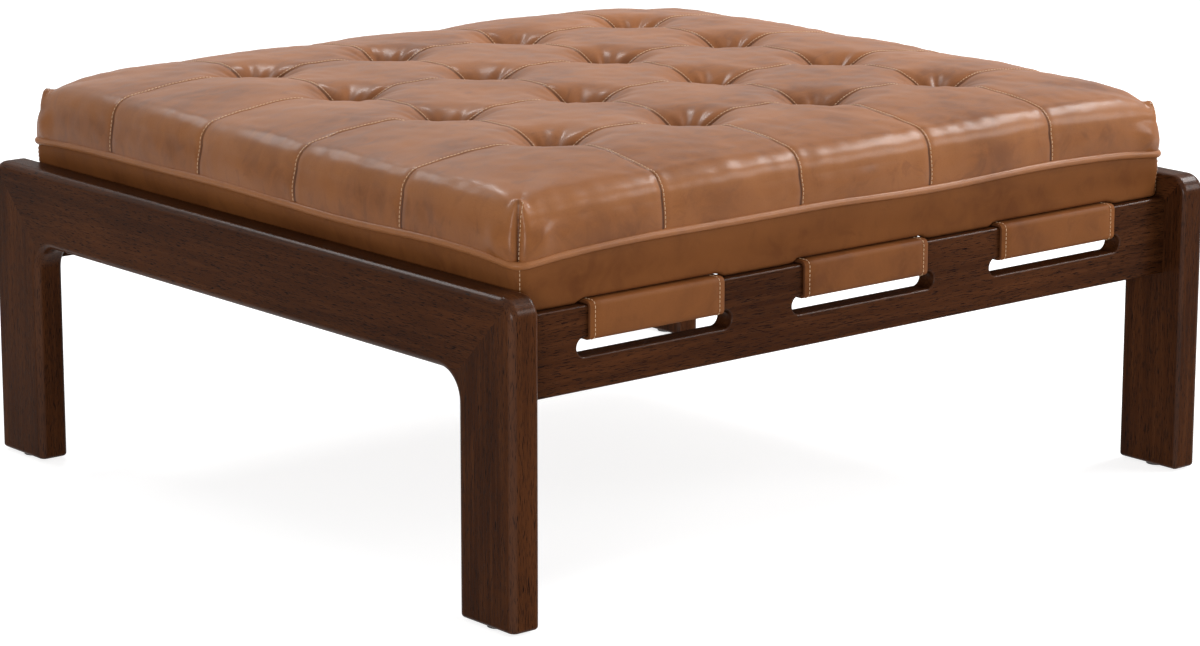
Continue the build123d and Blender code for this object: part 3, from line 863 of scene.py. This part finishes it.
def pleats(x, y):
    """Depth of the pleats that run down into each pit."""
    rng = np.random.default_rng(pleat_seed)
    total = np.zeros_like(x)
    for tuft_x in seam_xs:
        for tuft_y in seam_ys:
            away = np.hypot(x - tuft_x, y - tuft_y)
            heading = np.arctan2(y - tuft_y, x - tuft_x)
            near = ~is_side & (away < pleat_area)
            total[near] += pit_pleats(away[near], heading[near], rng)
    return total


from_tuft = np.hypot(across_x, across_y)
drawn_in += pit_depth * valley(from_tuft, pit_reach) + pleats(cover_x, cover_y)
print("pits:", tufts_each_way**2, "with", pleat_count, "pleats each")

# %% [markdown]
# ## Corners
#
# At each corner the top is darted: its two edges meet in a short seam down the side, the
# leather bulges on both sides of it, and the point of the dart stands up as a small ear. The
# corners hold less stuffing than the middle, so they slump down and lean in.

# %% Corners
dart_depth = 0.005
dart_width = 0.007
dart_fold = 0.004
dart_fold_place = 0.026
dart_fold_width = 0.013
ear_height = 0.011
ear_width = 0.0065
ear_inset = 0.0085
ear_out = 0.0025
corner_slump = 0.016
corner_lean = 0.006
corner_tightness = 8
front_left_fuller_share = 0.45


def grid_normals(points):
    """Unit normals of a grid of points."""
    normal = np.cross(np.gradient(points, axis=0), np.gradient(points, axis=1))
    return normal / np.maximum(np.linalg.norm(normal, axis=2, keepdims=True), 1e-12)


def push_out(points, distance):
    """Moves points away from the middle of the cushion along X and Y."""
    points[..., 0] += np.sign(cover_x) * distance
    points[..., 1] += np.sign(cover_y) * distance


def raise_ears(points):
    """Pulls the point of each dart up and out."""
    from_ear = np.hypot(
        cover_half_x - ear_inset - np.abs(cover_x), cover_half_y - ear_inset - np.abs(cover_y)
    )
    ear = hill(from_ear, ear_width) * ~is_side
    push_out(points, ear_out * ear)
    points[..., 2] += ear_height * ear


def slump_corners(points):
    """Lets the corners down and in. The front left one is stuffed fuller than the others."""
    height_share = (points[..., 2] - cover_welt_z) / (cover_top_z - cover_welt_z)
    slack = cornerness(cover_x, cover_y, corner_tightness) * np.clip(height_share, 0, 1)
    push_out(points, -corner_lean * slack)
    fuller_share = np.where((cover_x < 0) & (cover_y < 0), front_left_fuller_share, 0)
    points[..., 2] -= corner_slump * (1 - fuller_share) * slack


far_from_dart = 1.0
from_dart = np.where(is_corner, np.abs(cover_angle - np.pi / 4) * cover_corner, far_from_dart)
dart_share = roll_share * is_corner
drawn_in += dart_share * dart_depth * valley(from_dart, dart_width)
to_corner = np.hypot(cover_half_x - np.abs(cover_x), cover_half_y - np.abs(cover_y))
fold = hill(to_corner - dart_fold_place, dart_fold_width) * np.sin(np.pi * side_share)
drawn_in -= dart_fold * fold

cover_points = cover_start - grid_normals(cover_start) * drawn_in[..., None]
cover_points[..., 2] += welt_lift(cover_x, cover_y) * side_share
raise_ears(cover_points)
slump_corners(cover_points)
print("cover height:", round(1000 * float(cover_points[..., 2].max())), "mm")

# %% [markdown]
# ## Stretched leather, and painted shade and dirt in the creases
#
# The leather's material reads two numbers from the mesh. `stretch` is high over the rolled edge
# and on the fold beside each seam. `crease` is painted shade and dirt: high in a
# thin line along each seam, which turns darker towards each tuft and down the side, and softly so
# in the pits, where it is painted shade alone.

# %% Stretch and crease
# These numbers paint shade and dirt into the leather: a thin dark line along each seam and dart,
# darker near the tufts and on the sides where shade falls, and painted shade in the pits.
seam_crease_width = 0.0013
seam_crease_share = 0.32
seam_crease_side_share = 0.9
seam_crease_tuft_share = 0.95
pit_shade_share = 0.3
pit_shade_reach = 0.03
stretch_edge_share = 0.6
stretch_seam_share = 0.4
stretch_ring_share = 0.6
stretch_spread_share = 0.45


def seam_crease(across, along):
    """Painted shade and dirt in a seam's crease: a thin dark line that deepens near tufts and on the
    side.
    """
    closeness = tuft_closeness(along)
    dark = seam_crease_share + (seam_crease_tuft_share - seam_crease_share) * closeness
    dark = dark + (seam_crease_side_share - seam_crease_share) * roll_share
    return dark * hill(across, seam_crease_width * (1 + closeness))


rolled_edge = hill(cover_ring - stretch_ring_share * roll_rings, stretch_spread_share * roll_rings)
stretch = stretch_edge_share * rolled_edge * (cover_ring > 0) + stretch_seam_share * seam_fold
# Painted shade and dirt: lines along the seams and darts, and painted shade in the pits.
crease = np.maximum.reduce(
    [
        seam_crease(across_x, across_y),
        seam_crease(across_y, across_x),
        pit_shade_share * valley(from_tuft, pit_shade_reach),
        seam_crease_tuft_share * dart_share * hill(from_dart, seam_crease_width),
    ]
)
cover_numbers = {"stretch": np.clip(stretch, 0, 1), "crease": crease}
print("stretch up to", round(float(stretch.max()), 2), "and crease", round(float(crease.max()), 2))

# %% [markdown]
# ## From grid to mesh
#
# `grid_object` turns a grid of points into a Blender mesh with smooth shading. It can store
# one number for each vertex, which the leather reads, and close the grid into a tube.


# %% Mesh kit
def link_object(name, points, faces, materials, body):
    """A smooth mesh object from points and faces, which rides with a body."""
    mesh = bpy.data.meshes.new(name)
    mesh.from_pydata(np.reshape(points, (-1, 3)).tolist(), [], faces)
    for material in materials:
        mesh.materials.append(material)
    mesh.shade_smooth()
    obj = bpy.data.objects.new(name, mesh)
    bpy.context.collection.objects.link(obj)
    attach(obj, body)
    return obj


def grid_faces(rows, columns, wrap_rows=False):
    """Quads of a grid, whose last row may join the first."""
    last_row = rows if wrap_rows else rows - 1
    i, j = np.meshgrid(np.arange(last_row), np.arange(columns - 1), indexing="ij")
    here = i * columns + j
    following = (i + 1) % rows * columns + j
    return np.stack([here, following, following + 1, here + 1], axis=-1).reshape(-1, 4)


def grid_object(name, points, material, numbers, wrap_rows=False, flip=False):
    """A grid of points as a smooth object that rides with the cushion."""
    faces = grid_faces(*points.shape[:2], wrap_rows)
    if flip:
        faces = faces[:, ::-1]
    obj = link_object(name, points, faces.tolist(), [material], "cushion")
    for number_name, values in numbers.items():
        layer = obj.data.attributes.new(number_name, "FLOAT", "POINT")
        layer.data.foreach_set("value", values.reshape(-1).astype(np.float32))
    print(name, "has", len(faces), "quads")
    return obj


def swept_faces(sides, rings):
    """Faces of a grid that is a closed section swept along a path: quads, then two ends."""
    first_ring = list(range(0, sides * rings, rings))
    last_ring = [vertex + rings - 1 for vertex in first_ring]
    return grid_faces(sides, rings, wrap_rows=True).tolist() + [first_ring[::-1], last_ring]


# %% Cover
cover = grid_object("cushion_cover", cover_points, leathers["cover_leather"], cover_numbers)
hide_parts("quilted_top", "foam_core")

# %% [markdown]
# ## The lower band
#
# Below the welt the cover is one boxed band that tapers in to drop between the side frames. Its
# outline is the same rounded, bowed rectangle at each height, only smaller, so a function gives
# that outline, and a list of insets and heights gives the band's profile.

# %% Outlines
outline_steps_per_side = 150
outline_steps_per_corner = 14


def outline(inset, bow_share=1.0):
    """Points round the cushion at an inset from the welt's outline, anticlockwise."""
    radius = cover_corner - inset
    corner_shares = np.arange(outline_steps_per_corner + 1) / outline_steps_per_corner
    side_shares = np.arange(1, outline_steps_per_side)[:, None] / outline_steps_per_side
    arcs = []
    for quarter, (side_x, side_y) in enumerate(((1, 1), (-1, 1), (-1, -1), (1, -1))):
        turns = (quarter + corner_shares) * np.pi / 2
        arc_x = side_x * (cover_half_x - cover_corner) + radius * np.cos(turns)
        arc_y = side_y * (cover_half_y - cover_corner) + radius * np.sin(turns)
        arcs.append(np.column_stack([arc_x, arc_y]))
    pieces = []
    for arc, next_arc in zip(arcs, arcs[1:] + arcs[:1]):
        pieces += [arc, arc[-1] + (next_arc[0] - arc[-1]) * side_shares]
    places = np.concatenate(pieces)
    bowed = np.column_stack(bow(*places.T))
    return places + bow_share * (bowed - places)


print("outline:", len(outline(0)), "points")

# %% [markdown]
# Each line of the profile is one ring of the band: how far it is inset, how high it lies, and
# its share of the cushion's bow. Three more lists of shares say, ring by ring, how far the band
# wrinkles, how much its leather is stretched, and how much it hangs down between the straps,
# where nothing carries it.

# %% Lower band values
band_profile = [
    (0.0045, 0.3392, 1.0),
    (0.0022, 0.335, 1.0),
    (0.0008, 0.329, 0.86),
    (0.0008, 0.321, 0.55),
    (0.0012, 0.314, 0.22),
    (0.0018, 0.308, 0.03),
    (0.0018, 0.302, 0.0),
    (0.0018, 0.2966, 0.0),
    (0.0025, 0.2945, 0.0),
    (0.0045, 0.2929, 0.0),
    (0.0062, 0.2924, 0.0),
    (0.0128, 0.2924, 0.0),
]
band_wrinkle_shares = np.array([0, 0.3, 1, 1, 1, 0.6, 0.2, 0, 0, 0, 0, 0])
band_stretch_shares = np.array([0.5, 0.4, 0.25, 0.1, 0, 0, 0, 0.1, 0.3, 0.3, 0, 0])
band_sag_shares = np.array([0, 0, 0, 0.1, 0.3, 0.55, 0.8, 1, 1, 1, 1, 0.6])
band_straight_z = 0.308
band_wrinkle = 0.0005
band_wrinkle_scale = 26.0
band_rail_gap = 0.0004
band_sag_fade = 0.008
band_sag_side_share = 0.8
strap_names = ("left_strap", "centre_strap", "right_strap")
print("band:", len(band_profile), "rings")


# %% Lower band
def band_sag(x, y):
    """How far the front and rear of the cushion hang down between the straps."""
    rail_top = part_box("front_slotted_rail")[1][2]
    room = min(height for _, height, _ in band_profile) - rail_top - band_rail_gap
    from_strap = np.full_like(x, np.inf)
    for strap_name in strap_names:
        low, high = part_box(strap_name)
        from_strap = np.minimum(from_strap, np.maximum(low[0] - x, x - high[0]))
    between = np.clip(from_strap / band_sag_fade, 0, 1)
    side = (np.abs(y) / cover_half_y - band_sag_side_share) / (1 - band_sag_side_share)
    return room * between**2 * (3 - 2 * between) * np.clip(2 * side, 0, 1)


def band_grid():
    """The band as rings of points, from behind the welt down and under to its lip."""
    rings = []
    for inset, height, bow_share in band_profile:
        ring = outline(inset, bow_share)
        lift_share = (height - band_straight_z) / (cover_welt_z - band_straight_z)
        lift = np.clip(lift_share, 0, 1) * welt_lift(*ring.T)
        rings.append(np.column_stack([ring, height + lift]))
    points = np.stack(rings, axis=1)
    normal = grid_normals(np.concatenate([points[-1:], points, points[:1]], axis=0))[1:-1]
    wrinkles = smooth_noise(points, band_wrinkle_scale, seed=5.5) * band_wrinkle_shares
    points = points + normal * (band_wrinkle * wrinkles)[..., None]
    points[..., 2] -= band_sag(points[..., 0], points[..., 1]) * band_sag_shares
    return points


band_points = band_grid()
band_numbers = {"stretch": np.tile(band_stretch_shares, (len(band_points), 1))}
band = grid_object(
    "cushion_band",
    band_points,
    leathers["band_leather"],
    band_numbers,
    wrap_rows=True,
    flip=True,
)
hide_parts("lower_band")

# %% [markdown]
# ## The welt
#
# The welt is a round cord in leather that follows the cushion's outline. Its leather puckers a
# little all along, because it is sewn round the cord by hand.

# %% Welt
welt_radius = 0.004
welt_inset = 0.001
welt_sides = 14
welt_pucker = 0.00022
welt_pucker_scale = 260.0
welt_stretch_share = 0.35


def unit(vectors):
    """A vector or rows of vectors, each made one long."""
    return vectors / np.linalg.norm(vectors, axis=-1, keepdims=True)


def tube_grid(path, radius, sides):
    """Rings of points round a closed path, each from its sideways direction through its top."""
    ahead = unit(np.roll(path, -1, axis=0) - np.roll(path, 1, axis=0))
    sideways = unit(np.cross(ahead, (0, 0, 1)))
    upward = np.cross(sideways, ahead)
    turns = np.linspace(0, 2 * np.pi, sides + 1)[None, :, None]
    ring = np.cos(turns) * sideways[:, None] + np.sin(turns) * upward[:, None]
    return path[:, None] + radius * ring


welt_outline = outline(welt_inset)
welt_path = np.column_stack([welt_outline, cover_welt_z + welt_lift(*welt_outline.T)])
welt_points = tube_grid(welt_path, welt_radius, welt_sides)
welt_swell = smooth_noise(welt_points, welt_pucker_scale, seed=2.2) * welt_pucker / welt_radius
welt_points = welt_points + (welt_points - welt_path[:, None]) * welt_swell[..., None]
welt_numbers = {"stretch": np.full(welt_points.shape[:2], welt_stretch_share)}
welt = grid_object(
    "cushion_welt", welt_points, leathers["welt_leather"], welt_numbers, wrap_rows=True
)
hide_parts("welt_cord")

# %% [markdown]
# ## Stitches
#
# A stitch is a short piece of thread that comes out of the leather, lies on it and goes back
# in. `stitch_row` walks along a line on the surface and lays one such thread after another.
# All the threads of a piece are one mesh. Each ring of a stitch has three shares: its place
# along the stitch, its thickness, and its lift above the leather.

# %% Stitch
stitch_pitch = 0.0042
stitch_length = 0.0031
stitch_radius = 0.0004
stitch_lift = 0.00025
stitch_sides = 6
stitch_ring_shares = (
    (-0.5, 0.35, -0.6),
    (-0.36, 0.9, 0.5),
    (0.0, 1.0, 1.0),
    (0.36, 0.9, 0.5),
    (0.5, 0.35, -0.6),
)
shortest_stitch_share = 0.25


def one_stitch():
    """Points of one stitch: how far ahead, sideways and up each one lies."""
    turns = 2 * np.pi * np.arange(stitch_sides)[:, None] / stitch_sides
    along_shares, thickness_shares, lift_shares = np.array(stitch_ring_shares).T
    radii = stitch_radius * thickness_shares
    ahead = np.tile(stitch_length * along_shares, (stitch_sides, 1))
    sideways = radii * np.cos(turns)
    up = radii * np.sin(turns) + stitch_lift * lift_shares
    return np.stack([ahead, sideways, up], axis=-1).reshape(-1, 3)


stitch_points = one_stitch()
stitch_faces = swept_faces(stitch_sides, len(stitch_ring_shares))
print("each stitch has", len(stitch_faces), "faces")


# %% Rows of stitches
def read_along(values, travelled, distance):
    """A line's points or normals at a distance along it."""
    return np.array([np.interp(distance, travelled, values[:, axis]) for axis in range(3)])


def stitch_row(line, normals, vertices, faces):
    """Lays stitches along one line of surface points."""
    steps = np.linalg.norm(np.diff(line, axis=0), axis=1)
    travelled = np.append(0, np.cumsum(steps))
    for index in range(int(travelled[-1] / stitch_pitch)):
        middle = (index + 0.5) * stitch_pitch
        ahead = read_along(line, travelled, middle + stitch_length / 2)
        ahead = ahead - read_along(line, travelled, middle - stitch_length / 2)
        length = np.linalg.norm(ahead)
        if length < stitch_length * shortest_stitch_share:
            continue
        ahead = ahead / length
        up = read_along(normals, travelled, middle)
        up = up - ahead * np.dot(up, ahead)
        up = up / max(np.linalg.norm(up), 1e-9)
        axes = np.array([ahead, np.cross(ahead, up), up])
        first = len(vertices)
        vertices.extend(read_along(line, travelled, middle) + stitch_points @ axes)
        faces.extend([first + vertex for vertex in face] for face in stitch_faces)


def stitches_object(name, rows, body):
    """One mesh of thread for several rows of stitches."""
    vertices, faces = [], []
    for line, normals in rows:
        stitch_row(line, normals, vertices, faces)
    print(name, "has", len(faces) // len(stitch_faces), "stitches")
    return link_object(name, vertices, faces, [fibres["thread"]], body)


# %% [markdown]
# The cushion has a row of stitches on the folded side of each seam, one down each corner dart,
# and one down each corner of the band.

# %% Cushion stitches
seam_stitch_offset = 0.0021
dart_stitch_shift = 2
band_stitch_rings = slice(1, 8)
cover_normals = grid_normals(cover_points)


def seam_stitch_rows():
    """A row beside each seam of the cover, from side to side."""
    rows = []
    for axis, (lines, seams) in enumerate(((middle_xs, seam_xs), (middle_ys, seam_ys))):
        points = cover_points.swapaxes(0, axis)
        normals = cover_normals.swapaxes(0, axis)
        for seam in seams:
            index = cover_rings + int(np.abs(lines - seam - seam_stitch_offset).argmin())
            rows.append((points[index], normals[index]))
    return rows


def dart_stitch_rows():
    """A row down each corner dart of the cover."""
    last_i, last_j = np.array(cover_points.shape[:2]) - 1
    steps = np.arange(dart_stitch_shift, cover_rings)
    rows = []
    for from_i, from_j in ((0, 0), (0, last_j), (last_i, 0), (last_i, last_j)):
        i = np.abs(from_i - steps)
        j = np.abs(from_j - (steps - dart_stitch_shift))
        rows.append((cover_points[i, j], cover_normals[i, j]))
    return rows


def band_stitch_rows():
    """A row down each corner of the lower band."""
    normals = -grid_normals(band_points)
    per_quarter = outline_steps_per_corner + outline_steps_per_side
    rows = []
    for quarter in range(4):
        index = quarter * per_quarter + outline_steps_per_corner // 2 + 1
        rows.append((band_points[index, band_stitch_rings], normals[index, band_stitch_rings]))
    return rows


cushion_rows = seam_stitch_rows() + dart_stitch_rows() + band_stitch_rows()
cushion_stitches = stitches_object("cushion_stitches", cushion_rows, "cushion")

# %% [markdown]
# ## Straps
#
# Each strap is a flat leather belt. A path in the Y-Z plane goes from the sewn return, round
# the rear rail's bar, under the cushion, round the front bar and back to the other return. The
# same slim cross-section is swept along it. Its cut edges are burnished dark.

# %% Strap path
strap_thickness = 0.003
strap_gap = 0.0003
strap_return_length = 0.05
strap_bend = 0.004
strap_return_bend = 0.0035
strap_arc_steps = 6
strap_run_step = 0.012


def bend(before, here, after, radius):
    """Points round one right-angled bend of a path, given its corner and its neighbours."""
    into = unit(before - here)
    out = unit(after - here)
    shares = np.linspace(0, 1, strap_arc_steps + 1)[:, None]
    return list(here + radius * (into + out - unit(out * (1 - shares) + into * shares)))


def rounded_path(corners):
    """Points along a path in the Y-Z plane, given its corners and the radius at each."""
    places = [np.array(place, float) for place, _ in corners]
    radii = [radius for _, radius in corners]
    path = [places[0]]
    for before, here, after, radius in zip(places, places[1:], places[2:], radii[1:]):
        path += bend(before, here, after, radius)
    path.append(places[-1])
    dense = [path[0]]
    for a, b in zip(path, path[1:]):
        pieces = max(1, int(np.linalg.norm(b - a) / strap_run_step))
        dense.extend(a + (b - a) * (i + 1) / pieces for i in range(pieces))
    return np.array(dense)


def strap_centre_path():
    """The strap's middle line in the Y-Z plane, from the rear return to the front one."""
    rail_low, rail_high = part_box("rear_slotted_rail")
    strap_low, strap_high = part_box("centre_strap")
    half = strap_thickness / 2
    bar_back = rail_low[1] - strap_gap - half
    bar_front = rail_high[1] + strap_gap + half
    under = strap_low[2] + half
    return_z = rail_high[2] - half
    corners = [
        ((bar_back + half - strap_return_length, return_z), 0),
        ((bar_back, return_z), strap_return_bend),
        ((bar_back, under), strap_bend),
        ((bar_front, under), strap_bend),
        ((bar_front, strap_high[2] - half), strap_bend),
    ]
    mirrored = [((-y, z), radius) for (y, z), radius in reversed(corners)]
    return rounded_path(corners + mirrored)


strap_path = strap_centre_path()
strap_ahead = unit(np.gradient(strap_path, axis=0))
strap_normals = np.column_stack([-strap_ahead[:, 1], strap_ahead[:, 0]])
strap_flat_length = np.linalg.norm(np.diff(strap_path, axis=0), axis=1).sum()
print("each strap is", round(1000 * float(strap_flat_length)), "mm long when laid flat")

# %% Straps
strap_edge_round = 0.0007
strap_face_stops = 12


def strap_section(width):
    """Cross-section across the strap as pairs: sideways, and out from its middle line."""
    w = width / 2
    t = strap_thickness / 2
    r = strap_edge_round
    upper = [(x, t) for x in np.linspace(-w + r, w - r, strap_face_stops)]
    half_round = upper + [(w, t - r), (w, -t + r)]
    return np.array(half_round + [(-x, -out) for x, out in half_round])


def strap_object(node_name):
    """One strap that stands for its CAD node. Its cut edges and ends have the dark finish."""
    low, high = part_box(node_name)
    section = strap_section(high[0] - low[0])
    points = np.zeros((len(section), len(strap_path), 3))
    points[..., 0] = (low[0] + high[0]) / 2 + section[:, None, 0]
    points[..., 1:] = strap_path + strap_normals * section[:, None, 1:]
    faces = swept_faces(*points.shape[:2])
    materials = [leathers["strap_leather"], leathers["strap_edge"]]
    obj = link_object(f"{node_name}_leather", points, faces, materials, "frame")
    for index, polygon in enumerate(obj.data.polygons):
        is_end = index >= len(faces) - 2
        stop = index // (len(strap_path) - 1) % (strap_face_stops + 2)
        if is_end or stop >= strap_face_stops - 1:
            polygon.material_index = 1
            polygon.use_smooth = not is_end
    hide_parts(node_name)
    print(obj.name, "has", len(faces), "faces")


for strap_name in strap_names:
    strap_object(strap_name)

# %% Strap stitches
strap_stitch_inset = 0.0065


def strap_stitch_rows(node_name):
    """A row of stitches near each edge of a strap, on its outer side."""
    low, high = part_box(node_name)
    outer = strap_path - strap_normals * strap_thickness / 2
    rows = []
    for x in (low[0] + strap_stitch_inset, high[0] - strap_stitch_inset):
        line = np.column_stack([np.full(len(outer), x), outer])
        rows.append((line, np.column_stack([np.zeros(len(outer)), -strap_normals])))
    return rows


strap_rows = [row for name in strap_names for row in strap_stitch_rows(name)]
strap_stitches = stitches_object("strap_stitches", strap_rows, "frame")

# %% [markdown]
# ## Dust cloth
#
# The underside of the cushion is closed by a thin black cloth. It is stretched and stapled, so
# it is nearly flat, and it bellies a little between its edges. Solidify gives it its thickness.

# %% Dust cloth
cloth_thickness = 0.0007
cloth_wave = 0.0002
cloth_wave_scale = 30.0
cloth_edge_width = 0.02
cloth_lines = 60


def dust_cloth():
    """A thin cloth with a top and a bottom face and closed edges."""
    low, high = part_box("bottom_cloth")
    xs, ys = (np.linspace(low[i], high[i], cloth_lines) for i in range(2))
    x, y = np.meshgrid(xs, ys, indexing="ij")
    points = np.stack([x, y, np.full_like(x, (low[2] + high[2]) / 2)], axis=2)
    from_edge = np.minimum.reduce([x - low[0], high[0] - x, y - low[1], high[1] - y])
    free_share = np.clip(from_edge / cloth_edge_width, 0, 1)
    points[..., 2] += cloth_wave * smooth_noise(points, cloth_wave_scale, seed=4.4) * free_share
    faces = grid_faces(cloth_lines, cloth_lines).tolist()
    obj = link_object("dust_cloth", points, faces, [fibres["dust_cloth"]], "cushion")
    solid = obj.modifiers.new("thickness", "SOLIDIFY")
    solid.thickness = cloth_thickness
    solid.offset = 0
    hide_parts("bottom_cloth")
    print("dust cloth:", cloth_lines, "by", cloth_lines, "grid lines")


dust_cloth()

# %% [markdown]
# ## Finish
#
# The finished model must keep the CAD model's size.
